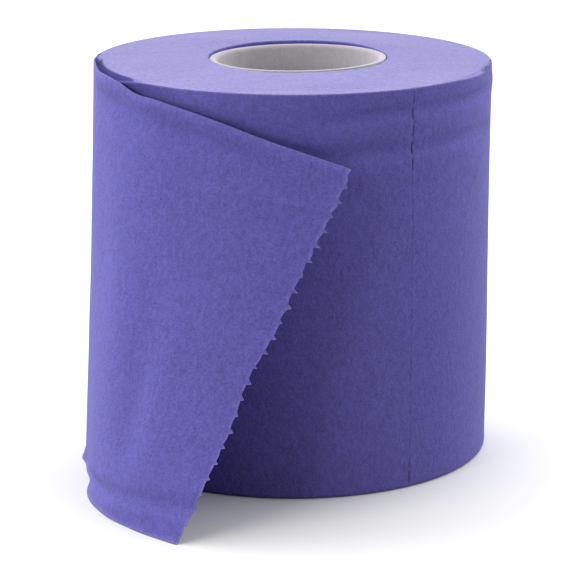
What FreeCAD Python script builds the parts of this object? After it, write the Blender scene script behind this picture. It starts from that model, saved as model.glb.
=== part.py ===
import FreeCAD
import Part
import math
import os

# A toilet paper roll that stands on its end, with its loose end pulled away
# to the front left and down to the surface. Sizes are in millimetres.
# The origin is on the axis of the card tube, where the roll stands. Z is up,
# and the loose end leaves on the left, -X, and comes round to the front, -Y.

# The strip of paper
WEB_WIDTH = 100.0
WEB_THICKNESS = 0.4
SHEET_LENGTH = 98.5

# The wound roll
ROLL_DIAMETER = 100.0
BASE_RIM_ROUND = 1.5
TURN_MARKS = 4
TURN_MARK_WIDTH = 0.7
TURN_MARK_DEPTH = 0.4
TURN_MARK_MARGIN = 3.5

# The card tube, which sits a little to the right of the roll's own middle
TUBE_DIAMETER = 44.4
TUBE_WALL = 2.0
TUBE_OFFSET = 1.2
TUBE_END_SLANT = 0.9
TUBE_SLANT_AZIMUTH = 135.0

# The rows of slits between sheets
SLIT_ROWS = 3
SLIT_PITCH = 4.1
SLIT_LENGTH = 2.8
SLIT_WIDTH = 0.3
SLIT_DEPTH = 0.3

# The loose end. Its top and base edges both leave the roll at the lift-off
# angle. Angles are seen from above, anticlockwise from +X. A corner's gap is
# how far it stands off the roll, and its flare is how much its edge turns out
# from the roll there. Fullness is how far an edge runs on straight at its
# start or its end, where 1 is a plain arc.
LIFT_OFF_ANGLE = 171.0
TOP_CORNER_ANGLE = 283.0
TOP_CORNER_GAP = 8.5
TOP_CORNER_DROP = 16.5
TOP_FLARE = 23.0
TOP_START_FULLNESS = 0.8
TOP_END_FULLNESS = 1.5
DROP_POWER = 3.1
BASE_CORNER_ANGLE = 251.5
BASE_CORNER_GAP = 35.5
BASE_FLARE = 18.0
BASE_START_FULLNESS = 2.3
BASE_END_FULLNESS = 1.0
BELLY_DEPTH = 2.0
WAVE_DEPTH = 0.5

# The torn edge keeps a small tab at each bridge between two slits. The tabs
# differ in length and lean up or down, each by a wave that runs on by so many
# radians from tab to tab.
TAB_LENGTH = 1.1
TAB_WIDTH = 1.2
TAB_UNEVENNESS = 0.25
TAB_LENGTH_WAVE = 2.4
TAB_LEAN_WAVE = 1.7

# How finely the loose end is traced
LENGTHWISE_STEPS = 16
CROSSWISE_STEPS = 8

ROLL_RADIUS = ROLL_DIAMETER / 2
TUBE_RADIUS = TUBE_DIAMETER / 2
BORE_RADIUS = TUBE_RADIUS - TUBE_WALL
ROLL_MIDDLE = FreeCAD.Vector(-TUBE_OFFSET, 0, 0)
UP = FreeCAD.Vector(0, 0, 1)

# How far a cutting shape, or what it trims, runs past the cut
SPARE = 3.0


def heading(angle):
    """Return the level unit vector at an angle in degrees from +X."""
    turn = math.radians(angle)
    return FreeCAD.Vector(math.cos(turn), math.sin(turn), 0)


def raised(height):
    """Return the upright vector of that height."""
    return UP * height


def solid_from(faces):
    """Sew faces that meet edge to edge into one solid with its faces outwards."""
    shell = Part.makeShell(faces)
    shell.sewShape()
    solid = Part.makeSolid(shell)
    if solid.Volume < 0:
        solid.reverse()
    return solid


def half_turns(middle, start_angle, start_radius, pitch, count):
    """Return the centre, the starting side and the radius of each half turn of a spiral.

    The spiral runs anticlockwise and outwards. Each half turn is a half circle,
    and its centre lies a quarter of the pitch back from the side where it
    starts, so the next one carries on smoothly.
    """
    turns = []
    for number in range(count):
        side = heading(start_angle) * (-1) ** number
        radius = start_radius + pitch * (number + 0.5) / 2
        turns.append((middle - side * (pitch / 4), side, radius))
    return turns


def outer_turn():
    """Return the outline of the outermost turn, which steps in by one thickness."""
    start_radius = ROLL_RADIUS - WEB_THICKNESS
    edges = []
    for centre, side, radius in half_turns(
        ROLL_MIDDLE, LIFT_OFF_ANGLE, start_radius, WEB_THICKNESS, 2
    ):
        crown = centre + UP.cross(side) * radius
        edges.append(Part.Arc(centre + side * radius, crown, centre - side * radius).toShape())
    start, end = edges[0].Vertexes[0].Point, edges[1].Vertexes[1].Point
    return Part.Wire(edges + [Part.LineSegment(end, start).toShape()])


def turn_marks(end_height, inwards):
    """Return the half rings of the spiral groove that shows the turns on one end.

    Each one is a V section turned through half a circle.
    """
    start = TUBE_RADIUS + TURN_MARK_MARGIN
    pitch = (ROLL_RADIUS - TURN_MARK_MARGIN - TURN_MARK_WIDTH - start) / TURN_MARKS
    half_rings = []
    for centre, side, radius in half_turns(ROLL_MIDDLE * 0.5, 0, start, pitch, 2 * TURN_MARKS):
        near = centre + side * radius + raised(end_height)
        far = near + side * TURN_MARK_WIDTH
        bottom = (near + far) * 0.5 + inwards * TURN_MARK_DEPTH
        section = Part.Face(Part.makePolygon([near, far, bottom, near]))
        half_rings.append(section.revolve(centre, UP, 180))
    return half_rings


def worn_rim():
    """Return the ring that is missing where the base rim is rubbed away.

    Its two bevels meet on the quarter round that they stand for.
    """
    inner = FreeCAD.Vector(ROLL_RADIUS - BASE_RIM_ROUND, 0, 0)
    quarter = math.sqrt(0.5) * BASE_RIM_ROUND
    between = inner + heading(0) * quarter + raised(BASE_RIM_ROUND - quarter)
    side = inner + heading(0) * BASE_RIM_ROUND + raised(BASE_RIM_ROUND)
    beyond = side + (side - between)
    corner = FreeCAD.Vector(beyond.x, 0, 0)
    outline = Part.makePolygon([inner, between, beyond, corner, inner])
    ring = Part.Face(outline).revolve(FreeCAD.Vector(0, 0, 0), UP, 360)
    ring.translate(ROLL_MIDDLE)
    return ring


def slit_places():
    """Return the heights of the slits of one row, centred on the strip."""
    count = int(WEB_WIDTH / SLIT_PITCH)
    first = (WEB_WIDTH - (count - 1) * SLIT_PITCH) / 2
    return [first + place * SLIT_PITCH for place in range(count)]


def slit_row(arc_from_lift_off):
    """Return one row of slits, so far back round the roll from the lift-off."""
    angle = LIFT_OFF_ANGLE - math.degrees(arc_from_lift_off / ROLL_RADIUS)
    slits = []
    for height in slit_places():
        corner = FreeCAD.Vector(
            ROLL_RADIUS - SLIT_DEPTH - WEB_THICKNESS * (LIFT_OFF_ANGLE - angle) / 360,
            -SLIT_WIDTH / 2,
            height - SLIT_LENGTH / 2,
        )
        slit = Part.makeBox(SLIT_DEPTH + WEB_THICKNESS, SLIT_WIDTH, SLIT_LENGTH, corner)
        slit.rotate(FreeCAD.Vector(0, 0, 0), UP, angle)
        slit.translate(ROLL_MIDDLE)
        slits.append(slit)
    return slits


def edge_controls(corner_angle, corner_gap, flare, start_fullness, end_fullness):
    """Return the four control points of one edge of the loose end, in plan."""
    swing = math.radians(corner_angle - LIFT_OFF_ANGLE)
    handle = ROLL_RADIUS * math.tan(swing / 4) * 4 / 3
    start = heading(LIFT_OFF_ANGLE) * ROLL_RADIUS
    end = heading(corner_angle) * (ROLL_RADIUS + corner_gap)
    start_way = heading(LIFT_OFF_ANGLE + 90)
    end_way = heading(corner_angle + 90 - flare)
    return [
        start,
        start + start_way * (handle * start_fullness),
        end - end_way * (handle * end_fullness),
        end,
    ]


TOP_EDGE = edge_controls(
    TOP_CORNER_ANGLE, TOP_CORNER_GAP, TOP_FLARE, TOP_START_FULLNESS, TOP_END_FULLNESS
)
BASE_EDGE = edge_controls(
    BASE_CORNER_ANGLE, BASE_CORNER_GAP, BASE_FLARE, BASE_START_FULLNESS, BASE_END_FULLNESS
)


def along_edge(controls, u):
    """Return the point and the travel of an edge's cubic curve at u from 0 to 1."""
    a, b, c, d = controls
    w = 1 - u
    point = a * w**3 + b * (3 * w * w * u) + c * (3 * w * u * u) + d * u**3
    travel = (b - a) * (3 * w * w) + (c - b) * (6 * w * u) + (d - c) * (3 * u * u)
    return point, travel


def loose_point(u, v, depth=0.0):
    """Return a point of the loose end, u along it and v down it, each 0 to 1.

    A straight line joins the top edge to the base edge. The belly and the wave
    bend it in and out, more towards the torn edge. Depth goes in from the
    outer face, level and square to the sheet's course.
    """
    top, top_travel = along_edge(TOP_EDGE, u)
    base, base_travel = along_edge(BASE_EDGE, u)
    top = top + raised(WEB_WIDTH - TOP_CORNER_DROP * u**DROP_POWER)
    travel = top_travel * (1 - v) + base_travel * v
    outward = travel.cross(UP)
    outward.normalize()
    bend = BELLY_DEPTH * math.sin(math.pi * v) + WAVE_DEPTH * math.sin(2 * math.pi * v)
    point = top * (1 - v) + base * v - outward * (bend * u * u + depth)
    return point + ROLL_MIDDLE


def loose_face(depth, last_u):
    """Return the outer or the inner face of the loose end as one surface."""
    grid = []
    for step in range(LENGTHWISE_STEPS + 1):
        u = last_u * step / LENGTHWISE_STEPS
        row = [loose_point(u, k / CROSSWISE_STEPS, depth) for k in range(CROSSWISE_STEPS + 1)]
        grid.append(row)
    surface = Part.BSplineSurface()
    surface.interpolate(grid)
    return surface.toShape()


def loose_sheet():
    """Return the loose end with a straight end, a little longer than the real one."""
    last_u = 1 + SPARE / SHEET_LENGTH
    outer = loose_face(0.0, last_u)
    inner = loose_face(WEB_THICKNESS, last_u)
    sides = []
    for outer_edge in outer.Edges:
        middle = outer_edge.valueAt((outer_edge.FirstParameter + outer_edge.LastParameter) / 2)
        partner = min(
            inner.Edges,
            key=lambda edge: edge.valueAt(
                (edge.FirstParameter + edge.LastParameter) / 2
            ).distanceToPoint(middle),
        )
        sides.append(Part.makeRuledSurface(outer_edge, partner))
    return solid_from([outer, inner] + sides)


def torn_off():
    """Return the block beyond the torn edge, with a tab left at every bridge."""
    middle = loose_point(1, 0.5)
    _, top_travel = along_edge(TOP_EDGE, 1)
    _, base_travel = along_edge(BASE_EDGE, 1)
    through = (top_travel + base_travel).cross(UP)
    through.normalize()
    down = loose_point(1, 1) - loose_point(1, 0)
    down = down - through * down.dot(through)
    down.normalize()
    onward = down.cross(through)
    if onward.dot(top_travel) < 0:
        onward = onward * -1

    def on_plane(v, reach):
        point = loose_point(1, v)
        return point - through * (point - middle).dot(through) + onward * reach

    half_tab = TAB_WIDTH / WEB_WIDTH / 2
    outline = [on_plane(0, 0) - down * SPARE]
    bridges = [height + SLIT_PITCH / 2 for height in slit_places()[:-1]]
    for number, height in enumerate(reversed(bridges)):
        v = 1 - height / WEB_WIDTH
        change = TAB_UNEVENNESS * math.sin(TAB_LENGTH_WAVE * number)
        lean = half_tab * math.sin(TAB_LEAN_WAVE * number)
        outline.append(on_plane(v - half_tab, 0))
        outline.append(on_plane(v + lean, TAB_LENGTH * (1 - TAB_UNEVENNESS + change)))
        outline.append(on_plane(v + half_tab, 0))
    far = TAB_LENGTH + SHEET_LENGTH / 8
    outline.append(on_plane(1, 0) + down * SPARE)
    outline.append(on_plane(1, 0) + down * SPARE + onward * far)
    outline.append(on_plane(0, 0) - down * SPARE + onward * far)
    outline.append(outline[0])
    reach_through = ROLL_RADIUS / 2
    block = Part.Face(Part.makePolygon(outline))
    block.translate(through * -reach_through)
    return block.extrude(through * (2 * reach_through))


def paper_web():
    """Return the whole strip: the wound turns and the loose end as one solid."""
    top = raised(WEB_WIDTH)
    outline = Part.Face(outer_turn())
    hole = Part.makeCylinder(TUBE_RADIUS, WEB_WIDTH)
    wound = outline.extrude(top).cut(hole)
    marks = turn_marks(0, UP) + turn_marks(WEB_WIDTH, -UP)
    wound = wound.cut(marks + [worn_rim()])
    base_curve = Part.BezierCurve()
    base_curve.setPoles(BASE_EDGE)
    slits = []
    for row in range(1, SLIT_ROWS + 1):
        slits += slit_row(row * SHEET_LENGTH - base_curve.length())
    wound = wound.cut(slits)
    loose = loose_sheet().cut(torn_off())
    return wound.fuse(loose)


def core_tube():
    """Return the card tube, its top end cut a little out of square."""
    tube = Part.makeCylinder(TUBE_RADIUS, WEB_WIDTH)
    tube = tube.cut(Part.makeCylinder(BORE_RADIUS, WEB_WIDTH))
    tilt = math.degrees(math.atan(TUBE_END_SLANT / TUBE_DIAMETER))
    side = 2 * TUBE_DIAMETER
    waste = Part.makeBox(side, side, side, FreeCAD.Vector(-side / 2, -side / 2, 0))
    waste.rotate(FreeCAD.Vector(0, 0, 0), heading(TUBE_SLANT_AZIMUTH - 90), -tilt)
    waste.translate(raised(WEB_WIDTH - TUBE_END_SLANT / 2))
    return tube.cut(waste)


PIECES = {
    "core_tube": core_tube,
    "paper_web": paper_web,
}


def main():
    """Write one file for each piece and print what was made."""
    os.makedirs("parts", exist_ok=True)
    for name, make in PIECES.items():
        shape = make()
        shape.exportStep(f"parts/{name}.step")
        box = shape.BoundBox
        print(name, "valid", shape.isValid(), "solids", len(shape.Solids),
              "volume", round(shape.Volume, 1), "faces", len(shape.Faces))
        print("  from", round(box.XMin, 2), round(box.YMin, 2), round(box.ZMin, 2),
              "to", round(box.XMax, 2), round(box.YMax, 2), round(box.ZMax, 2))


main()
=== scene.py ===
import logging
import math
from dataclasses import dataclass, field
from enum import Enum

import bpy
import numpy as np
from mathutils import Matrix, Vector


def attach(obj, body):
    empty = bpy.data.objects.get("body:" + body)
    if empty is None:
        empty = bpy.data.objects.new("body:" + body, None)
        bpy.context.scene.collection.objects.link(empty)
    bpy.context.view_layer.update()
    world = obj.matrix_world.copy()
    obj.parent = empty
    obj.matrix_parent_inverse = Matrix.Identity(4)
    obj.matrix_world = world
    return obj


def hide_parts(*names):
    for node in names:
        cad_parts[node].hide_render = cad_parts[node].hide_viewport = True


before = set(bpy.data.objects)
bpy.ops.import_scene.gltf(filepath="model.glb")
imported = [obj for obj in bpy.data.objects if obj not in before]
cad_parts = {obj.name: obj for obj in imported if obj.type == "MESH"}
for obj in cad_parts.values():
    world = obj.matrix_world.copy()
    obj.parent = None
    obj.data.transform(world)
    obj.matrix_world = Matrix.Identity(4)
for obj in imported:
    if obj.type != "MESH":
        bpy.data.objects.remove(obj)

# The looks of a purple toilet paper roll that stands on its end, with its torn
# loose end pulled away to the front left. Lengths are in metres. Every mesh is
# a surface worked out on a grid of two parameters, in the frame of the solids.

LOG = logging.getLogger("toilet_roll")
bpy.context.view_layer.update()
MM = 0.001
SEED = 11
FRONT = 270.0

Array = np.ndarray


def heading(angle: Array | float) -> Array:
    """Return the level unit vectors at angles in degrees from +X.

    Args:
        angle: one angle or an array of them, anticlockwise seen from above.

    Returns:
        An array with one more axis, which holds x, y and a height of 0.
    """
    turn = np.radians(np.asarray(angle, dtype=float))
    return np.stack([np.cos(turn), np.sin(turn), np.zeros_like(turn)], axis=-1)


def ease(value: Array, start: float, end: float) -> Array:
    """Return 0 before start, 1 after end, and a smooth rise between them.

    The rise is 3t squared minus 2t cubed, with t the share of the way.

    Args:
        value: where to read the rise.
        start: the value where it starts.
        end: the value where it ends, which may be less than the start.

    Returns:
        The rise at each value.
    """
    share = np.clip((value - start) / (end - start), 0.0, 1.0)
    return share * share * (3.0 - 2.0 * share)


def bump(value: Array, middle: float, width: float) -> Array:
    """Return a soft bell, exp of minus the squared distance in widths.

    Args:
        value: where to read the bell.
        middle: the value of its top.
        width: the distance at which it has fallen to 0.37.

    Returns:
        The bell's height at each value, at most 1.
    """
    return np.exp(-(((value - middle) / width) ** 2))


@dataclass(frozen=True)
class Ripple:
    """A smooth uneven field: a sum of sine waves with seeded turns and phases."""

    seed: int
    longest: float
    waves: int = 7
    narrowing: float = 1.35

    def at(self, across: Array, along: Array, stretch: float = 1.0) -> Array:
        """Return the field, half the sum of sine waves that grow shorter and lower one by one.

        Args:
            across: the first coordinate of each place, in metres.
            along: the second coordinate of each place, in metres.
            stretch: how much longer the waves are along than across.

        Returns:
            A value from about -1 to 1 at each place.
        """
        random = np.random.default_rng(SEED + self.seed)
        total = np.zeros(np.broadcast(across, along).shape)
        for number in range(self.waves):
            turn, phase = random.uniform(0.0, 2.0 * math.pi, 2)
            length = self.longest / self.narrowing**number
            reach = across * math.cos(turn) + along * math.sin(turn) / stretch
            wave = np.sin(reach * 2.0 * math.pi / length + phase)
            total = total + wave / self.narrowing**number
        return total * 0.5


def wrapped(across: Array, period: float) -> Array:
    """Return distances brought to the nearest turn, from minus to plus half a period."""
    return (across + period / 2.0) % period - period / 2.0


def make_mesh(name: str, points: Array, faces: Array, maps: dict[str, Array]) -> bpy.types.Object:
    """Make an object from whole arrays of points and four-sided faces.

    Args:
        name: the object's name.
        points: one row of x, y and z for each vertex.
        faces: one row of four vertex numbers for each face, seen anticlockwise from outside.
        maps: named values, each with one number for each vertex.

    Returns:
        The smooth-shaded object, at the origin.
    """
    mesh = bpy.data.meshes.new(name)
    mesh.vertices.add(len(points))
    mesh.vertices.foreach_set("co", points.astype(np.float32).ravel())
    mesh.loops.add(faces.size)
    mesh.loops.foreach_set("vertex_index", faces.astype(np.int32).ravel())
    mesh.polygons.add(len(faces))
    mesh.polygons.foreach_set("loop_start", np.arange(0, faces.size, 4, dtype=np.int32))
    mesh.update(calc_edges=True)
    mesh.validate()
    mesh.shade_smooth()
    for label, values in maps.items():
        layer = mesh.attributes.new(label, "FLOAT", "POINT")
        layer.data.foreach_set("value", values.astype(np.float32).ravel())
    piece = bpy.data.objects.new(name, mesh)
    bpy.context.scene.collection.objects.link(piece)
    return piece


def grid_faces(rows: int, columns: int, closed: bool) -> Array:
    """Return the faces of a grid whose vertices are numbered row by row.

    Each row is a ring, whose last vertex joins its first one.

    Args:
        rows: how many rows of vertices the grid has.
        columns: how many vertices each row has.
        closed: whether the last row joins the first one too.

    Returns:
        One row of four vertex numbers for each face.
    """
    row = np.arange(rows if closed else rows - 1)[:, None]
    column = np.arange(columns)[None, :]
    next_row, next_column = (row + 1) % rows, (column + 1) % columns
    corners = [
        row * columns + column,
        next_row * columns + column,
        next_row * columns + next_column,
        row * columns + next_column,
    ]
    return np.stack(corners, axis=-1).reshape(-1, 4)


def stacked(parts: list[Array], angle: Array) -> Array:
    """Return the parts of a profile as one array.

    Args:
        parts: rows of values, with one column or with one for each angle.
        angle: the angles, in one row.

    Returns:
        All the rows, with one column for each angle.
    """
    return np.concatenate([part + np.zeros_like(angle) for part in parts])


def ring_points(middle: Array, angle: Array, radius: Array, height: Array) -> Array:
    """Return the points of a profile that is carried round an upright axis.

    Args:
        middle: where the axis meets the floor.
        angle: the angles, in one row.
        radius: the distance from the axis, for each row and column.
        height: the height, for each row and column.

    Returns:
        One point for each row and column.
    """
    points = middle + heading(angle) * radius[..., None]
    points[..., 2] = height
    return points


def make_ring(name: str, points: Array, maps: dict[str, Array]) -> bpy.types.Object:
    """Make a ring from the points of a closed profile.

    Args:
        name: the object's name.
        points: one point for each row and column.
        maps: named values, each with one number for each point.

    Returns:
        The ring as one closed mesh.
    """
    rows, columns = points.shape[:2]
    faces = grid_faces(rows, columns, True)[:, ::-1]
    return make_mesh(name, points.reshape(-1, 3), faces, maps)


class Wiring:
    """A node tree, with short calls that add and join its nodes."""

    def __init__(self, tree: bpy.types.NodeTree) -> None:
        """Take up the tree."""
        self.tree = tree

    def add(self, kind: str, **values: object) -> bpy.types.Node:
        """Add a node of that kind and set the named properties on it."""
        node = self.tree.nodes.new(kind)
        for label, value in values.items():
            setattr(node, label, value)
        return node

    def join(self, source: bpy.types.NodeSocket, target: bpy.types.NodeSocket) -> None:
        """Feed one socket from another."""
        self.tree.links.new(source, target)

    def calculate(
        self, operation: str, first: bpy.types.NodeSocket, second: object
    ) -> bpy.types.NodeSocket:
        """Return an operation's result on a socket and a fixed number or another socket."""
        node = self.add("ShaderNodeMath", operation=operation)
        self.join(first, node.inputs[0])
        if isinstance(second, bpy.types.NodeSocket):
            self.join(second, node.inputs[1])
        else:
            node.inputs[1].default_value = second
        return node.outputs[0]


class Shade(Wiring):
    """One material and its node tree."""

    def __init__(self, name: str) -> None:
        """Start the material with only its surface shader and its output."""
        self.material = bpy.data.materials.new(name)
        self.material.use_nodes = True
        super().__init__(self.material.node_tree)
        self.surface = next(n for n in self.tree.nodes if n.type == "BSDF_PRINCIPLED")

    def group(self, tree: bpy.types.NodeTree, **values: float) -> bpy.types.Node:
        """Place a shared group and set its named inputs."""
        node = self.add("ShaderNodeGroup", node_tree=tree)
        for label, value in values.items():
            node.inputs[label.replace("_", " ")].default_value = value
        return node

    def value(self, label: str) -> bpy.types.NodeSocket:
        """Return the socket that reads one of the mesh's own named values."""
        return self.add("ShaderNodeAttribute", attribute_name=label).outputs["Fac"]

    def blend(
        self, share: bpy.types.NodeSocket, first: object, second: object
    ) -> bpy.types.NodeSocket:
        """Mix two colours, each a fixed one or a socket, by a share from 0 to 1.

        The mix node has sockets for every type of value. Its inputs 6 and 7
        and its output 2 are those for colours.
        """
        node = self.add("ShaderNodeMix", data_type="RGBA")
        self.join(share, node.inputs[0])
        for socket, colour in ((node.inputs[6], first), (node.inputs[7], second)):
            if isinstance(colour, bpy.types.NodeSocket):
                self.join(colour, socket)
            else:
                socket.default_value = (*colour, 1.0)
        return node.outputs[2]

    def flecked(
        self, colour: bpy.types.NodeSocket, speckle: bpy.types.NodeSocket
    ) -> bpy.types.NodeSocket:
        """Scale a colour by one plus a speckle that lies about 0."""
        factor = self.calculate("ADD", speckle, 1.0)
        scaled = self.add("ShaderNodeVectorMath", operation="SCALE")
        self.join(colour, scaled.inputs[0])
        self.join(factor, scaled.inputs["Scale"])
        return scaled.outputs[0]

    def emboss(self, height: bpy.types.NodeSocket, depth: float) -> None:
        """Give the surface a relief, in which a height of 1 stands for the depth."""
        relief = self.add("ShaderNodeBump")
        relief.inputs["Distance"].default_value = depth
        self.join(height, relief.inputs["Height"])
        self.join(relief.outputs["Normal"], self.surface.inputs["Normal"])


class GroupTree(Wiring):
    """A shared node group with named inputs and outputs."""

    def __init__(self, name: str, inputs: dict[str, float], outputs: list[str]) -> None:
        """Make the group's sockets.

        Args:
            name: the group's name.
            inputs: each input's name and its usual value.
            outputs: the names of the values that it puts out.
        """
        super().__init__(bpy.data.node_groups.new(name, "ShaderNodeTree"))
        for label, value in inputs.items():
            socket = self.tree.interface.new_socket(
                name=label, in_out="INPUT", socket_type="NodeSocketFloat"
            )
            socket.default_value = value
        for label in outputs:
            self.tree.interface.new_socket(
                name=label, in_out="OUTPUT", socket_type="NodeSocketFloat"
            )
        self.inputs = self.tree.nodes.new("NodeGroupInput").outputs
        self.outputs = self.tree.nodes.new("NodeGroupOutput").inputs

    def sum(self, terms: list[bpy.types.NodeSocket]) -> bpy.types.NodeSocket:
        """Return the sum of several sockets."""
        total = terms[0]
        for term in terms[1:]:
            total = self.calculate("ADD", total, term)
        return total

    def scaled(self, source: bpy.types.NodeSocket, by: object) -> bpy.types.NodeSocket:
        """Return a socket times a fixed number or another socket."""
        return self.calculate("MULTIPLY", source, by)

    def noise(
        self,
        place: bpy.types.NodeSocket,
        scale: float,
        stretch: tuple[float, float, float] = (1.0, 1.0, 1.0),
        detail: float = 3.0,
    ) -> bpy.types.NodeSocket:
        """Return smooth noise about 0, squeezed by stretch along each axis."""
        mapping = self.add("ShaderNodeMapping")
        mapping.inputs["Scale"].default_value = stretch
        self.join(place, mapping.inputs["Vector"])
        node = self.add("ShaderNodeTexNoise")
        node.inputs["Scale"].default_value = scale
        node.inputs["Detail"].default_value = detail
        self.join(mapping.outputs["Vector"], node.inputs["Vector"])
        return self.calculate("SUBTRACT", node.outputs["Fac"], 0.5)


def fibre_group() -> bpy.types.NodeTree:
    """Make the fibre group: the speckle and the felted relief of paper and card.

    Returns:
        A group whose Speckle is a colour mask about 0 and whose Relief is a height.
    """
    group = GroupTree("fibres", {"Speckle": 1.0, "Relief": 1.0}, ["Speckle", "Relief"])
    place = group.add("ShaderNodeTexCoord").outputs["Object"]
    fine = group.noise(place, 2200.0, detail=2.0)
    threads = group.noise(place, 900.0, (1.0, 1.0, 0.55))
    clouds = group.noise(place, 160.0)
    speckle = group.sum([fine, group.scaled(threads, 0.6), group.scaled(clouds, 0.12)])
    relief = group.sum([group.scaled(fine, 0.5), group.scaled(threads, 0.5)])
    group.join(group.scaled(speckle, group.inputs["Speckle"]), group.outputs["Speckle"])
    group.join(group.scaled(relief, group.inputs["Relief"]), group.outputs["Relief"])
    return group.tree


@dataclass(frozen=True)
class TissueFinish:
    """Soft dyed tissue: felted fibres, paler cut ends that are partly a painted reflection, painted
    highlights on edges, paler patches and painted shade in gaps.
    """

    name: str
    dye: tuple[float, float, float] = (0.153, 0.134, 0.500)
    # Paler cut ends: partly the fibre ends' own paler tone, partly a painted reflection of the
    # bright surroundings on the top.
    pale: tuple[float, float, float] = (0.17, 0.152, 0.41)
    # Painted highlight on the loose end's lit edges; the same colour makes the wound paper's cut
    # ends paler towards the front.
    paling_and_highlight: tuple[float, float, float] = (0.220, 0.192, 0.475)
    # Painted shade: the dark colour laid into the slits, the gaps and the hole.
    deep: tuple[float, float, float] = (0.010, 0.006, 0.150)
    roughness: float = 0.92
    sheen: float = 0.15
    sheen_roughness: float = 0.5
    specular: float = 0.2
    speckle: float = 0.9
    relief: float = 1.0
    relief_depth: float = 0.00022

    def material(self, fibres: bpy.types.NodeTree) -> bpy.types.Material:
        """Build the material.

        Args:
            fibres: the shared fibre group.

        Returns:
            A material that reads the mesh's cut ends, its mask of paler patches and painted
            highlights, and its mask of painted shade.
        """
        shade = Shade(self.name)
        grain = shade.group(fibres, Speckle=self.speckle, Relief=self.relief)
        edge = shade.blend(shade.value("cut"), self.dye, self.pale)
        # Painted highlight on the loose end's edges, and paler patches on the cut ends.
        rubbed = shade.blend(shade.value("paling_and_highlight"), edge, self.paling_and_highlight)
        # Painted shade, mixed in by its mask.
        whole = shade.blend(shade.value("painted_shade"), rubbed, self.deep)
        colour = shade.flecked(whole, grain.outputs["Speckle"])
        shade.join(colour, shade.surface.inputs["Base Color"])
        shade.surface.inputs["Roughness"].default_value = self.roughness
        shade.surface.inputs["Sheen Weight"].default_value = self.sheen
        shade.surface.inputs["Sheen Roughness"].default_value = self.sheen_roughness
        shade.surface.inputs["Specular IOR Level"].default_value = self.specular
        shade.emboss(grain.outputs["Relief"], self.relief_depth)
        return shade.material


@dataclass(frozen=True)
class CardFinish:
    """Grey-white tube card with felted fibres, a spiral seam and darker, rubbed rims."""

    name: str
    card: tuple[float, float, float] = (0.53, 0.51, 0.54)
    rubbed: tuple[float, float, float] = (0.46, 0.43, 0.47)
    roughness: float = 0.8
    specular: float = 0.3
    speckle: float = 0.35
    relief: float = 0.6
    relief_depth: float = 0.0001

    def material(self, fibres: bpy.types.NodeTree) -> bpy.types.Material:
        """Build the material.

        Args:
            fibres: the shared fibre group.

        Returns:
            A material that reads the mesh's values cut and seam.
        """
        shade = Shade(self.name)
        grain = shade.group(fibres, Speckle=self.speckle, Relief=self.relief)
        whole = shade.blend(shade.value("cut"), self.card, self.rubbed)
        colour = shade.flecked(whole, grain.outputs["Speckle"])
        shade.join(colour, shade.surface.inputs["Base Color"])
        shade.surface.inputs["Roughness"].default_value = self.roughness
        shade.surface.inputs["Specular IOR Level"].default_value = self.specular
        height = shade.calculate("ADD", grain.outputs["Relief"], shade.value("seam"))
        shade.emboss(height, self.relief_depth)
        return shade.material


class Slot(Enum):
    """The record's material slots."""

    TISSUE = "tissue"
    CARD = "tube_card"


@dataclass
class Roll:
    """The sizes that the whole roll shares."""

    radius: float = 50.0 * MM
    width: float = 100.0 * MM
    thickness: float = 0.4 * MM
    sheet_length: float = 98.5 * MM
    tube_radius: float = 22.2 * MM
    tube_wall: float = 2.0 * MM
    middle: Array = field(default_factory=lambda: np.array([-1.2 * MM, 0.0, 0.0]))
    lift_off: float = 171.0
    slit_pitch: float = 4.1 * MM
    slit_length: float = 2.8 * MM

    def slit_heights(self) -> Array:
        """Return the heights of one row's slits, centred on the strip."""
        count = int(self.width / self.slit_pitch)
        first = (self.width - (count - 1) * self.slit_pitch) / 2.0
        return first + self.slit_pitch * np.arange(count)

    def arc(self, angle: Array) -> Array:
        """Return the length round the roll's side that an angle in degrees spans."""
        return angle * math.radians(1.0) * self.radius


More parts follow.
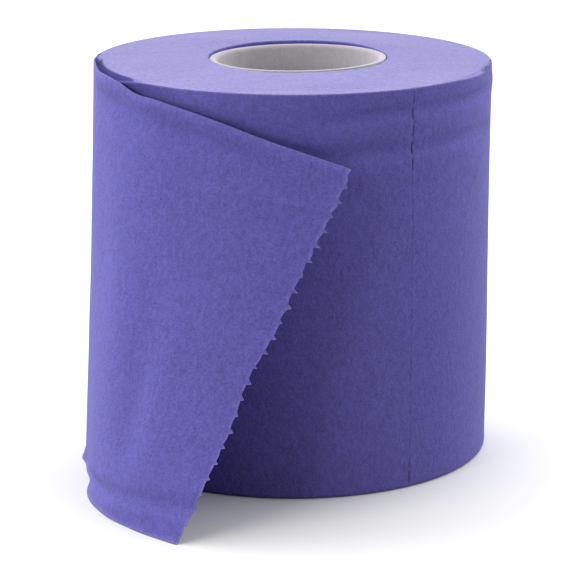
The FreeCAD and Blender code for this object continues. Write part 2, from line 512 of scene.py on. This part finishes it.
@dataclass
class WoundPaper:
    """The wound turns: one closed ring with a soft rim, turn ends and slit rows.

    The loose end's top edge presses a hollow into the side. Its line is given
    by angles round the roll and by drops from the top.
    """

    roll: Roll
    pressed: tuple[Array, Array]
    name: str = "wound_paper"
    top_round: float = 0.4 * MM
    base_round: float = 0.9 * MM
    hole_round: float = 0.4 * MM
    hole_play: float = 0.15 * MM
    top_sink: float = 0.7 * MM
    rise_middle: float = 0.72 * MM
    rise_tilt: float = 0.30 * MM
    slip_depth: float = 1.5 * MM
    press_depth: float = 1.3 * MM
    unevenness: float = 0.10 * MM
    wrinkle_depth: float = 0.95 * MM
    short_wrinkle_depth: float = 0.9 * MM
    slant_depth: float = 0.25 * MM
    ridge_height: float = 0.30 * MM
    flare_height: float = 0.30 * MM
    slit_width: float = 0.30 * MM
    slit_depth: float = 0.45 * MM
    slit_angles: tuple[float, ...] = (169.7, 56.9, -55.2)
    slit_sides: tuple[float, ...] = (-0.7, -0.3, 0.3, 0.7)
    lift_off_step: float = 0.06
    # Strengths of painted shade in the slits, behind the loose sheet, on the slipped band and down
    # the hole.
    slit_shade: float = 0.85
    gap_shade: float = 0.5
    band_shade: float = 0.75
    hole_shade: float = 0.35
    marks: int = 24
    mark_depth: float = 0.05 * MM
    mark_fall: float = 0.12 * MM
    even_columns: int = 340

    def angles(self) -> Array:
        """Return the columns' angles, with close ones at the lift-off and the slits."""
        even = self.roll.lift_off + np.arange(self.even_columns) * 360.0 / self.even_columns
        slit = math.degrees(self.slit_width / self.roll.radius)
        close = [self.roll.lift_off - self.lift_off_step, self.roll.lift_off + self.lift_off_step]
        for row in self.slit_angles:
            close += [row + side * slit for side in self.slit_sides]
        merged = np.concatenate([even, np.array(close)]) % 360.0
        return np.sort(merged)

    def side_heights(self) -> Array:
        """Return the heights of the side's rows, close at each slit's two ends."""
        slits = self.roll.slit_heights()
        half = self.roll.slit_length / 2.0
        edge = 0.12 * MM
        places = (-half - edge, -half + edge, 0.0, half - edge, half + edge)
        heights = np.sort(np.concatenate([slits + place for place in places]))
        low, high = self.base_round, self.top_height() - self.top_round
        inner = heights[(heights > low + edge) & (heights < high - edge)]
        return np.concatenate([[low], inner, [high]])

    def top_height(self) -> float:
        """Return the height of the turns' upper ends, a little under the tube's."""
        return self.roll.width - self.top_sink

    def slits_at(self, angle: Array, height: Array) -> Array:
        """Return how deep into a slit each place of the side is, from 0 to 1.

        Each slit is the product of a narrow window in angle and a long one in
        height. They lie open near the top, all but closed further down, and a
        little open again at the base.
        """
        period = self.roll.slit_pitch
        first = self.roll.slit_heights()[0]
        along = wrapped(height - first, period)
        half = self.roll.slit_length / 2.0
        inside = ease(np.abs(along), half + 0.1 * MM, half - 0.1 * MM)
        total = np.zeros(np.broadcast(angle, height).shape)
        for row in self.slit_angles:
            away = self.roll.arc(np.abs(wrapped(angle - row, 360.0)))
            total = total + ease(away, 0.62 * self.slit_width, 0.35 * self.slit_width) * inside
        drop = self.top_height() - height
        opened = 0.15 + 0.85 * bump(drop, 14.0 * MM, 4.2 * MM)
        opened = opened + 0.3 * bump(drop, 6.0 * MM, 3.0 * MM)
        opened = opened + 0.25 * ease(height, 8.0 * MM, 5.0 * MM)
        return np.clip(total, 0.0, 1.0) * np.minimum(opened, 1.0)

    def side_swell(self, angle: Array, height: Array) -> Array:
        """Return how far the side stands out or in from the spiral, in metres.

        It is a slow unevenness of the whole roll and dents, each a bell across
        a line of the surface. Two long wrinkles and a short one lie at the
        upper right, and are shallower where the row of slits crosses them.
        Below them lie a slanting dent and a slanting ridge, and at the far
        right the side flares out under the rim.
        """
        arc = self.roll.arc(wrapped(angle - FRONT, 360.0))
        slow = Ripple(1, 60.0 * MM, 4).at(arc, height, 1.5) * self.unevenness
        drop = self.top_height() - height
        right = ease(arc, 72.0 * MM, 60.0 * MM)
        stiff = 1.0 - 0.4 * bump(arc, 30.4 * MM, 3.5 * MM)
        line = drop - 5.4 * MM - 1.4 * MM * ease(arc, 22.0 * MM, 8.0 * MM)
        upper = bump(line, 0.0, 1.5 * MM) * ease(arc, 0.0, 14.0 * MM)
        lower = bump(drop, 14.6 * MM, 1.8 * MM) * ease(arc, 6.0 * MM, 24.0 * MM)
        short = bump(drop, 15.2 * MM, 2.4 * MM) * bump(arc, 11.0 * MM, 10.0 * MM)
        dents = self.wrinkle_depth * (upper + lower) * right + self.short_wrinkle_depth * short
        dents = dents * stiff
        slant = drop - (27.0 * MM - 0.25 * (arc - 20.0 * MM))
        slanting = bump(slant, 0.0, 4.0 * MM) * bump(arc, 30.0 * MM, 18.0 * MM)
        crest = (drop - 24.5 * MM) + 0.9 * (arc - 57.0 * MM)
        ridge = bump(crest, 0.0, 1.2 * MM) * bump(arc, 57.0 * MM, 5.0 * MM)
        dents = dents + self.slant_depth * slanting - self.ridge_height * ridge
        flare = bump(drop, 4.8 * MM, 2.6 * MM) * ease(arc, 70.0 * MM, 78.0 * MM)
        return slow + self.flare_height * flare - dents

    def press(self, angle: Array, drop: Array) -> Array:
        """Return the hollow along the loose end's top edge, from 0 to 1, a bell across its line."""
        line = np.interp(angle, self.pressed[0], self.pressed[1])
        along = ease(angle, 196.0, 212.0) * ease(angle, 292.0, 272.0)
        return bump(drop - line, 1.0 * MM, 2.4 * MM) * along

    def ring(self, angle: Array) -> Array:
        """Return the spiral's radius, one thickness less just past the lift-off."""
        gone = ((angle - self.roll.lift_off) % 360.0) / 360.0
        return self.roll.radius - self.roll.thickness * (1.0 - gone)

    def build(self) -> bpy.types.Object:
        """Carry a closed profile round the roll.

        The profile goes up the side, over the rim, inwards across the top in
        fine spiral ridges, down the hole and back out across the base. Its
        places are given by a radius and a height for each row and column.
        The value cut marks the ends of the turns. A mask of painted shade darkens
        the narrow gaps: the slits, the slipped band, the hole and the gap behind the sheet.

        Returns:
            The ring as one closed mesh.
        """
        roll, top = self.roll, self.top_height()
        angle = self.angles()[None, :]
        outer = self.ring(angle)
        lift, slip = self.lift(angle), self.slip(angle)
        dark = ease(slip, 0.0, 0.3 * MM)
        # Painted shade on the paper behind the loose sheet's top edge.
        shaded = self.gap_shade * ease(angle, 198.0, 208.0) * ease(angle, 240.0, 218.0)

        side = self.side_heights()[:, None]
        slit = self.slits_at(angle, side)
        settle = ease(side, 0.0, 12.0 * MM) * ease(side, top, top - 3.0 * MM)
        hollow = self.press_depth * self.press(angle, top - side) * ease(side, top, top - 1.4 * MM)
        side_radius = outer + self.side_swell(angle, side) * settle - hollow
        side_radius = side_radius - slit * self.slit_depth
        side_height = side + (lift - slip) * ease(side, top - 8.0 * MM, top - self.top_round)
        # Painted shade in the slits and under the loose sheet's top edge.
        side_gap = shaded * ease(top - side, 6.0 * MM, 1.0 * MM)
        side_painted_shade = np.maximum(slit * self.slit_shade, side_gap)

        turn = np.radians(np.linspace(0.0, 90.0, 8))[1:-1, None]
        top_radius = outer - self.top_round * (1.0 - np.cos(turn))
        top_height = top - self.top_round * (1.0 - np.sin(turn)) + lift - slip
        top_cut = np.sin(turn) * (1.0 - ease(lift + slip, 0.0, 0.5 * MM))
        # Painted shade on the rim over the slipped band and behind the loose sheet.
        top_painted_shade = np.maximum(0.6 * dark, 1.1 * shaded) + 0.0 * turn

        share = self.shares()[:, None]
        hole = roll.tube_radius + self.hole_play - roll.middle[0] * np.cos(np.radians(angle))
        lip = hole + self.hole_round
        end_radius = (outer - self.top_round) * (1.0 - share) + lip * share
        rise = self.rise_middle + self.rise_tilt * np.sin(np.radians(angle))
        end_height = top + rise * ease(share, 0.0, 0.8)
        end_height = end_height + self.turn_ends(angle, end_radius) * ease(share, 0.0, 0.03)
        end_height = end_height + lift * ease(share, 0.05, 0.0) - slip * ease(share, 0.055, 0.035)
        inwards = share / (0.02 + 0.98 * ease(slip, 0.0, 0.9 * MM))
        # Painted shade on the slipped band, which also loses its paler tone, and behind the loose
        # sheet.
        band = self.band_shade * ease(inwards, 0.07, 0.05) * dark
        end_cut = 1.0 - ease(inwards, 0.07, 0.055) * dark
        end_painted_shade = np.maximum(band, shaded * ease(share, 0.02, 0.0))

        hole_turn = np.radians(np.linspace(0.0, 90.0, 5))[1:, None]
        lip_radius = hole + self.hole_round * (1.0 - np.sin(hole_turn))
        lip_height = end_height[-1] - self.hole_round * (1.0 - np.cos(hole_turn))
        # Painted shade down the hole.
        lip_painted_shade = self.hole_shade * (1.0 - np.cos(hole_turn))
        wall = np.linspace(roll.width - 4.0 * MM, self.hole_round, 6)[:, None]

        base_share = np.linspace(1.0, 0.0, 26)[:, None]
        base_radius = (outer - self.base_round) * (1.0 - base_share) + lip * base_share
        base_height = np.maximum(0.0, -self.turn_ends(angle, base_radius))
        base_turn = np.radians(np.linspace(-90.0, 0.0, 12))[1:-1, None]
        rim_radius = outer - self.base_round * (1.0 - np.cos(base_turn))
        rim_height = self.base_round * (1.0 + np.sin(base_turn))

        radius = stacked([
            side_radius, top_radius, end_radius, lip_radius, hole + 0.0 * wall,
            base_radius, rim_radius,
        ], angle)
        height = stacked([
            side_height, top_height, end_height, lip_height, wall, base_height, rim_height
        ], angle)
        cut = stacked([
            0.0 * side, top_cut, end_cut, np.cos(hole_turn) ** 2, 0.0 * wall,
            1.0 + 0.0 * base_share, np.sin(base_turn) ** 2,
        ], angle)
        # Painted shade for each part of the profile.
        painted_shade = stacked([
            side_painted_shade, top_painted_shade, end_painted_shade, lip_painted_shade, self.hole_shade + 0.0 * wall,
            0.0 * base_share, 0.0 * base_turn,
        ], angle)
        points = ring_points(roll.middle, angle, radius, height)
        # The cut ends are paler towards the front, in patches.
        maps = {"cut": cut, "painted_shade": painted_shade, "paling_and_highlight": cut * self.front_paling(points)}
        return make_ring(self.name, points, maps)

    def shares(self) -> Array:
        """Return where the top's rows lie from rim to hole, four to each ridge."""
        return np.linspace(0.0, 1.0, 4 * self.marks)

    def lift(self, angle: Array) -> Array:
        """Return how far the outermost turns stand up at the right.

        They do so in two steps, past a part that lies low.
        """
        side = wrapped(angle, 360.0)
        first = ease(side, -18.5, -17.5) * ease(side, -1.0, -11.0)
        second = ease(side, -10.5, -9.5) * ease(side, -1.0, -8.0)
        lower = ease(side, -42.0, -24.0) * ease(side, -17.5, -18.5)
        return (0.75 * first + 0.55 * second - 0.45 * lower) * MM

    def slip(self, angle: Array) -> Array:
        """Return how far the outermost turns have slipped down at the left."""
        return self.slip_depth * ease(angle, 177.0, 185.0) * ease(angle, 226.0, 205.0)

    def turn_ends(self, angle: Array, radius: Array) -> Array:
        """Return the relief of an end: spiral ridges, uneven round the roll.

        The ridge is the cosine of the spiral's phase, which is the radius in
        ridge pitches less the share of a turn. A slow unevenness is added.
        """
        pitch = (self.roll.radius - self.roll.tube_radius) / self.marks
        phase = radius / pitch - angle / 360.0
        ridge = 0.5 * (np.cos(2.0 * math.pi * phase) - 1.0)
        place = heading(angle) * radius[..., None]
        patch = 0.6 + 0.4 * Ripple(3, 30.0 * MM, 4).at(place[..., 0], place[..., 1])
        slow = Ripple(4, 45.0 * MM, 4).at(place[..., 0], place[..., 1])
        return ridge * patch * self.mark_depth + self.mark_fall * slow

    def front_paling(self, points: Array) -> Array:
        """Return how much paler the cut ends are, more at the front, in patches, from 0 to 1."""
        x, y = points[..., 0], points[..., 1]
        patch = 0.8 + 0.25 * Ripple(8, 24.0 * MM, 5).at(x, y)
        return np.clip(0.85 * ease(y, 15.0 * MM, -35.0 * MM) * patch, 0.0, 1.0)


@dataclass
class Edge:
    """One long edge of the loose end, a cubic curve seen from above.

    Its handles are those of an arc from the lift-off to the corner, times the
    fullness at each end. The gap and the flare are taken at the corner.
    """

    corner_angle: float
    corner_gap: float
    flare: float
    start_fullness: float
    end_fullness: float

    def along(self, roll: Roll, u: Array) -> tuple[Array, Array]:
        """Return the edge's points and its travel, by the cubic Bezier formula.

        Args:
            roll: the roll that the edge leaves.
            u: how far along, from 0 at the lift-off to 1 at the corner.

        Returns:
            The points and the travel, from the roll's middle.
        """
        swing = math.radians(self.corner_angle - roll.lift_off)
        handle = roll.radius * math.tan(swing / 4.0) * 4.0 / 3.0
        a = heading(roll.lift_off) * roll.radius
        d = heading(self.corner_angle) * (roll.radius + self.corner_gap)
        b = a + heading(roll.lift_off + 90.0) * handle * self.start_fullness
        c = d - heading(self.corner_angle + 90.0 - self.flare) * handle * self.end_fullness
        u = u[..., None]
        w = 1.0 - u
        point = a * w**3 + b * 3.0 * w * w * u + c * 3.0 * w * u * u + d * u**3
        travel = (b - a) * 3.0 * w * w + (c - b) * 6.0 * w * u + (d - c) * 3.0 * u * u
        return point, travel


@dataclass
class LooseEnd:
    """The sheet that has come away: one thin closed sheet with a torn edge."""

    roll: Roll
    name: str = "loose_end"
    top: Edge = field(default_factory=lambda: Edge(283.0, 8.5 * MM, 23.0, 0.8, 1.5))
    base: Edge = field(default_factory=lambda: Edge(251.5, 35.5 * MM, 18.0, 2.3, 1.0))
    corner_drop: float = 16.5 * MM
    drop_power: float = 3.1
    belly: float = 2.0 * MM
    wave: float = 0.5 * MM
    tab_length: float = 1.1 * MM
    tab_width: float = 1.3 * MM
    valley_depth: float = 1.2 * MM
    stand: float = 1.1 * MM
    lean: float = 0.45 * MM
    crease_depth: float = 1.3 * MM
    lip: float = 0.35 * MM
    notch_depth: float = 0.45 * MM
    inset: float = 0.35 * MM
    slant_depth: float = 0.75 * MM
    pinch_height: float = 0.30 * MM
    unevenness: float = 0.22 * MM
    lengthwise: int = 130
    thin: float = 0.22 * MM

    def tabs(self, v: Array) -> Array:
        """Return how far the torn edge stands out at each place down it.

        Every bridge between two slits has left a torn tab, a bell of its own
        length that leans up or down. Between them the edge is uneven.
        """
        random = np.random.default_rng(SEED)
        height = (1.0 - v) * self.roll.width
        total = self.unevenness * Ripple(5, 9.0 * MM, 5).at(height, height) + self.wander(v)
        for bridge in self.bridges():
            length = self.tab_length * random.uniform(0.35, 1.1)
            above = self.tab_width * random.uniform(0.45, 0.8)
            below = self.tab_width * random.uniform(0.2, 0.4)
            away = height - bridge
            share = 1.0 - np.where(away > 0.0, away / above, -away / below)
            total = total + length * np.clip(share, 0.0, 1.0)
        return total

    def wander(self, v: Array) -> Array:
        """Return how far the tear strays from the straight line of slits, in metres."""
        upper = 0.4 * MM * bump(v, 0.10, 0.09)
        middle = -0.2 * MM * bump(v, 0.33, 0.045)
        lower = -1.2 * MM * bump(v, 0.575, 0.085)
        return upper + middle + lower

    def bridges(self) -> Array:
        """Return the heights of the bridges between the slits, where tabs are left."""
        return self.roll.slit_heights()[:-1] + self.roll.slit_pitch / 2.0

    def rows(self) -> Array:
        """Return the places down the sheet, even ones and close ones at the tabs."""
        close = np.array([-0.55, -0.35, -0.2, -0.1, 0.0, 0.15, 0.35, 0.6, 0.9, 1.2]) * MM
        even = np.linspace(0.0, self.roll.width, 70)
        hems = np.array([0.25, 0.55, 0.9]) * MM
        heights = [even, hems, self.roll.width - hems, (self.bridges()[:, None] + close).ravel()]
        heights = np.concatenate(heights)
        return 1.0 - np.unique(heights)[::-1] / self.roll.width

    def surface(self, u: Array, v: Array, depth: Array | float) -> Array:
        """Return points of the sheet, u along it and v down it.

        A straight line joins the top edge to the base edge. The belly, the
        wave and the folds bend it in and out along its level outward normal.

        Args:
            u: how far along the sheet, 1 at the line of the tear.
            v: how far down the sheet, 1 at its lower edge.
            depth: how deep below the outer face.

        Returns:
            The points, in the frame of the solids.
        """
        roll = self.roll
        top, top_travel = self.top.along(roll, u)
        base, base_travel = self.base.along(roll, u)
        down = v[..., None]
        travel = top_travel * (1.0 - down) + base_travel * down
        outward = np.stack([travel[..., 1], -travel[..., 0], 0.0 * travel[..., 0]], axis=-1)
        outward /= np.linalg.norm(outward, axis=-1)[..., None]
        height = roll.width - self.corner_drop * u**self.drop_power - self.droop(u, v)
        top = top + np.stack([0.0 * u, 0.0 * u, height], axis=-1)
        bend = self.belly * np.sin(math.pi * v) + self.wave * np.sin(2.0 * math.pi * v)
        inward = bend * u * u + depth - self.folds(u, v)
        return roll.middle + top * (1.0 - down) + base * down - outward * inward[..., None]

    def droop(self, u: Array, v: Array) -> Array:
        """Return how far the top edge sags between its two ends, in metres."""
        sag = 0.35 * bump(u, 0.31, 0.04) + 0.9 * bump(u, 0.535, 0.06) + 0.2 * bump(u, 0.63, 0.06)
        ends = 0.75 * ease(u, 0.22, 0.0) + 0.45 * ease(u, 0.76, 0.88)
        return (sag + ends) * MM * ease(v, 0.15, 0.0)

    def edge_line(self) -> tuple[Array, Array]:
        """Return the top edge's angles round the roll and its drops from the roll's top."""
        u = np.linspace(0.0, 1.0, 80)
        point, _ = self.top.along(self.roll, u)
        angle = np.degrees(np.arctan2(point[:, 1], point[:, 0])) % 360.0
        return angle, self.corner_drop * u**self.drop_power + self.droop(u, 0.0 * u)

    def folds(self, u: Array, v: Array) -> Array:
        """Return the soft folds and dents of the sheet, outwards, in metres.

        A valley lies under the top edge, which stands off the roll and leans
        back at its rim. A crease with a notch lies above the base, and the
        hem below it waves in and out down to its lip. Near the lift-off the
        sheet is inset. An upright valley and a small pinch lie near the tear.
        Each is a bell or a rise across a line, and slow ripples lie over all.
        """
        drop = v * self.roll.width
        rise = (1.0 - v) * self.roll.width
        along = u * self.roll.sheet_length
        near = ease(u, 0.28, 0.48) * ease(u, 0.92, 0.68)
        valley = -self.valley_depth * bump(drop, 5.6 * MM, 3.2 * MM) * near
        apart = ease(u, 0.18, 0.34) * ease(u, 1.0, 0.80)
        stand = self.stand * ease(drop, 7.0 * MM, 1.6 * MM) * apart
        lean = -self.lean * ease(drop, 1.5 * MM, 0.0) * ease(u, 0.14, 0.30)
        level = (0.5 + 8.5 * u) * MM
        depth = (1.0 - 0.35 * ease(u, 0.45, 0.7)) * ease(u, 0.15, 0.35)
        crease = -self.crease_depth * depth * bump((rise - level) / (0.6 + u), 0.0, 1.6 * MM)
        lip = self.lip * ease(rise, 1.1 * MM, 0.0)
        wave = 1.7 * bump(u, 0.165, 0.035) - 1.2 * bump(u, 0.32, 0.055) - 0.7 * bump(u, 0.78, 0.13)
        hem = (wave - 0.5 * ease(u, 0.0, 0.3)) * MM * ease(rise, 7.0 * MM, 0.0)
        notch = -self.notch_depth * bump(rise, 5.6 * MM, 1.6 * MM) * bump(u, 0.15, 0.12)
        inset = -self.inset * ease(u, 0.0, 0.06) * ease(u, 0.55, 0.35)
        upright = bump(u, 0.687, 0.06) * ease(v, 0.30, 0.50) * ease(v, 0.90, 0.78)
        pinch = drop - 15.9 * MM + 0.218 * (along - 81.5 * MM)
        small = self.pinch_height * bump(pinch, 0.0, 0.7 * MM) * bump(along, 88.0 * MM, 11.0 * MM)
        slow = self.unevenness * Ripple(6, 38.0 * MM, 5).at(along, drop, 2.0) * ease(u, 0.1, 0.35)
        base = crease + lip + hem + notch
        return valley + stand + lean + base - self.slant_depth * upright + small + slow + inset

    def build(self) -> bpy.types.Object:
        """Lay the outer and the inner face on one grid and close it at its edges.

        Returns:
            The sheet as one closed mesh.
        """
        v = self.rows()
        share = np.linspace(0.0, 1.0, self.lengthwise)
        further = self.tabs(v)[None, :] / self.roll.sheet_length
        u = share[:, None] * (1.0 + further * ease(share, 0.75, 1.0)[:, None])
        grid_v = np.broadcast_to(v[None, :], u.shape)
        outer = self.surface(u, grid_v, 0.0)
        inner = self.surface(u, grid_v, self.thin + 0.0 * u)
        sheet = np.concatenate([outer, inner[:, ::-1]], axis=1)
        rows, columns = sheet.shape[:2]
        faces = [grid_faces(rows, columns, False)]
        half = columns // 2
        for row, flip in ((0, True), (rows - 1, False)):
            number = np.arange(half - 1)
            across = columns - 1 - number
            first = row * columns
            cap = np.stack([number, number + 1, across - 1, across], axis=-1) + first
            faces.append(cap[:, ::-1] if flip else cap)
        both = np.concatenate([u, u[:, ::-1]], axis=1)
        both_v = np.concatenate([grid_v, grid_v[:, ::-1]], axis=1)
        # Painted highlight along the lit top edge and the hem, and a lighter torn edge.
        torn = 0.5 * ease(both, 0.998, 1.004)
        rims = 0.3 * ease(both_v, 0.006, 0.003) + 0.8 * ease(both_v, 0.993, 0.997)
        none = np.zeros_like(both)
        maps = {"cut": none, "painted_shade": none, "paling_and_highlight": np.clip(torn + rims, 0.0, 1.0)}
        return make_mesh(self.name, sheet.reshape(-1, 3), np.concatenate(faces), maps)


@dataclass
class CardTube:
    """The card tube: a closed ring with rubbed rims, its top a little slanted."""

    roll: Roll
    name: str = "card_tube"
    slant: float = 0.65 * MM
    slant_angle: float = 135.0
    rim_round: float = 1.1 * MM
    corner_round: float = 0.3 * MM
    proud: float = 0.1 * MM
    seam_angle: float = 200.0
    seam_turn: float = 300.0
    seam_width: float = 2.0
    seam_depth: float = 0.06 * MM
    columns: int = 240

    def build(self) -> bpy.types.Object:
        """Carry the wall's rounded section round the tube's axis.

        Returns:
            The tube as one closed mesh.
        """
        roll = self.roll
        angle = np.linspace(0.0, 360.0, self.columns, endpoint=False)[None, :]
        outer, inner = roll.tube_radius, roll.tube_radius - roll.tube_wall
        fall = self.slant * 0.5 * (1.0 + np.cos(np.radians(angle - self.slant_angle)))
        top = roll.width + self.proud - fall
        quarter = np.radians(np.linspace(0.0, 90.0, 7))[:, None]
        r, c = self.rim_round, self.corner_round
        wall = np.linspace(0.0, 1.0, 30)[1:-1, None]
        radius = stacked([
            outer - c + c * np.cos(quarter), inner + r - r * np.sin(quarter),
            inner + 0.0 * wall,
            inner + c - c * np.cos(quarter), outer - c + c * np.sin(quarter),
            outer + 0.0 * wall,
        ], angle)
        height = stacked([
            top - c + c * np.sin(quarter), top - r + r * np.cos(quarter),
            top - r + (r + c - top) * wall,
            c - c * np.sin(quarter), c - c * np.cos(quarter),
            c + (top - 2.0 * c) * wall,
        ], angle)
        cut = ease(height, top - 1.6 * MM, top - 0.5 * MM) + ease(height, 1.6 * MM, 0.5 * MM)
        seam = self.seam(angle, height)
        inside = radius < (outer + inner) / 2.0
        points = ring_points(np.zeros(3), angle, radius - self.seam_depth * seam * inside, height)
        maps = {"cut": np.clip(cut, 0.0, 1.0), "seam": seam * 0.5}
        return make_ring(self.name, points, maps)

    def seam(self, angle: Array, height: Array) -> Array:
        """Return the spiral seam of the card's ply, a narrow bell across its line."""
        line = self.seam_angle + height / self.roll.width * self.seam_turn
        return bump(wrapped(angle - line, 360.0), 0.0, self.seam_width)


@dataclass(frozen=True)
class Lamp:
    """A soft square lamp that faces the roll, with its strength in watts."""

    name: str
    place: tuple[float, float, float]
    power: float
    size: float = 0.6


@dataclass
class Studio:
    """The plain pale floor, the soft light and the camera at the photo's angle."""

    distance: float = 650.37 * MM
    elevation: float = 14.756
    aim: tuple[float, float, float] = (-2.789 * MM, 0.0, 40.207 * MM)
    lens: float = 159.08
    sensor: float = 36.0
    floor_size: float = 6.0
    floor_colour: tuple[float, float, float] = (0.95, 0.95, 0.95)
    floor_bounce: tuple[float, float, float] = (0.25, 0.25, 0.26)
    sky_back: float = 2.43
    sky_start: float = -0.6
    sky_full: float = 0.5
    lamps: tuple[Lamp, ...] = (
        Lamp("left_lamp", (-0.9, -0.7, 0.45), 6.0),
        Lamp("back_lamp", (-1.0, 0.6, 0.4), 1.4),
        Lamp("right_lamp", (0.9, -0.7, 0.45), 2.75),
    )

    def floor(self) -> bpy.types.Object:
        """Lay a large flat sheet under the roll."""
        square = np.array([[-1.0, -1.0, 0.0], [1.0, -1.0, 0.0], [1.0, 1.0, 0.0], [-1.0, 1.0, 0.0]])
        corners = square * self.floor_size / 2.0
        floor = make_mesh("floor", corners, np.array([[0, 1, 2, 3]]), {})
        floor.data.materials.append(self.paint())
        return floor

    def paint(self) -> bpy.types.Material:
        """Build the floor's matt paint, which throws little light back on the roll."""
        shade = Shade("floor_paint")
        colour = shade.blend(
            shade.add("ShaderNodeLightPath").outputs["Is Camera Ray"],
            self.floor_bounce, self.floor_colour,
        )
        shade.join(colour, shade.surface.inputs["Base Color"])
        shade.surface.inputs["Roughness"].default_value = 1.0
        shade.surface.inputs["Specular IOR Level"].default_value = 0.0
        return shade.material

    def world(self) -> None:
        """Fill the surroundings with soft light from behind that fades to none in front."""
        world = bpy.data.worlds.new("studio_world")
        world.use_nodes = True
        nodes, links = world.node_tree.nodes, world.node_tree.links
        place = nodes.new("ShaderNodeTexCoord")
        split = nodes.new("ShaderNodeSeparateXYZ")
        fall = nodes.new("ShaderNodeMapRange")
        fall.interpolation_type = "SMOOTHSTEP"
        fall.inputs["From Min"].default_value = self.sky_start
        fall.inputs["From Max"].default_value = self.sky_full
        fall.inputs["To Min"].default_value = 0.0
        fall.inputs["To Max"].default_value = self.sky_back
        links.new(place.outputs["Generated"], split.inputs["Vector"])
        links.new(split.outputs["Y"], fall.inputs["Value"])
        links.new(fall.outputs["Result"], nodes["Background"].inputs["Strength"])
        nodes["Background"].inputs["Color"].default_value = (1.0, 1.0, 1.0, 1.0)
        bpy.context.scene.world = world

    def light(self, lamp: Lamp) -> None:
        """Set up one lamp and turn it to the roll."""
        data = bpy.data.lights.new(lamp.name, "AREA")
        data.shape = "SQUARE"
        data.size = lamp.size
        data.energy = lamp.power
        stand = bpy.data.objects.new(lamp.name, data)
        stand.location = lamp.place
        aim = Vector(self.aim) - Vector(lamp.place)
        stand.rotation_mode = "QUATERNION"
        stand.rotation_quaternion = aim.to_track_quat("-Z", "Y")
        bpy.context.scene.collection.objects.link(stand)

    def camera(self) -> None:
        """Place the camera at the photo's angle, aimed at the roll's middle."""
        data = bpy.data.cameras.new("camera")
        data.sensor_width = self.sensor
        data.lens = self.lens
        data.dof.use_dof = False
        camera = bpy.data.objects.new("camera", data)
        rise = math.radians(self.elevation)
        aim = Vector(self.aim)
        back = Vector((0.0, -math.cos(rise), math.sin(rise)))
        camera.location = aim + back * self.distance
        camera.rotation_mode = "QUATERNION"
        camera.rotation_quaternion = (-back).to_track_quat("-Z", "Y")
        bpy.context.scene.collection.objects.link(camera)
        bpy.context.scene.camera = camera

    def build(self) -> None:
        """Set up the floor, the light, the camera and plain colour handling."""
        self.camera()
        self.floor()
        self.world()
        for lamp in self.lamps:
            self.light(lamp)
        bpy.context.scene.view_settings.view_transform = "Standard"


def dress(piece: bpy.types.Object, material: bpy.types.Material, node: str) -> None:
    """Give a piece its finish and tie it to the solids.

    Args:
        piece: the piece's object.
        material: its finish.
        node: the solid that the piece stands for.
    """
    piece.data.materials.append(material)
    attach(piece, "root")
    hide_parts(node)
    triangles = sum(len(polygon.vertices) - 2 for polygon in piece.data.polygons)
    LOG.info("%s: %d triangles", piece.name, triangles)


def main() -> None:
    """Build the studio, the pieces and their finishes in order."""
    logging.basicConfig(level=logging.INFO, format="%(name)s: %(message)s")
    Studio().build()
    roll = Roll()
    fibres = fibre_group()
    tissue = TissueFinish("tissue").material(fibres)
    card = CardFinish("tube_card").material(fibres)
    sheet = LooseEnd(roll)
    wound = WoundPaper(roll, sheet.edge_line()).build()
    dress(wound, tissue, "paper_web")
    loose = sheet.build()
    dress(loose, tissue, "paper_web")
    tube = CardTube(roll).build()
    dress(tube, card, "core_tube")


if __name__ == "__main__":
    main()
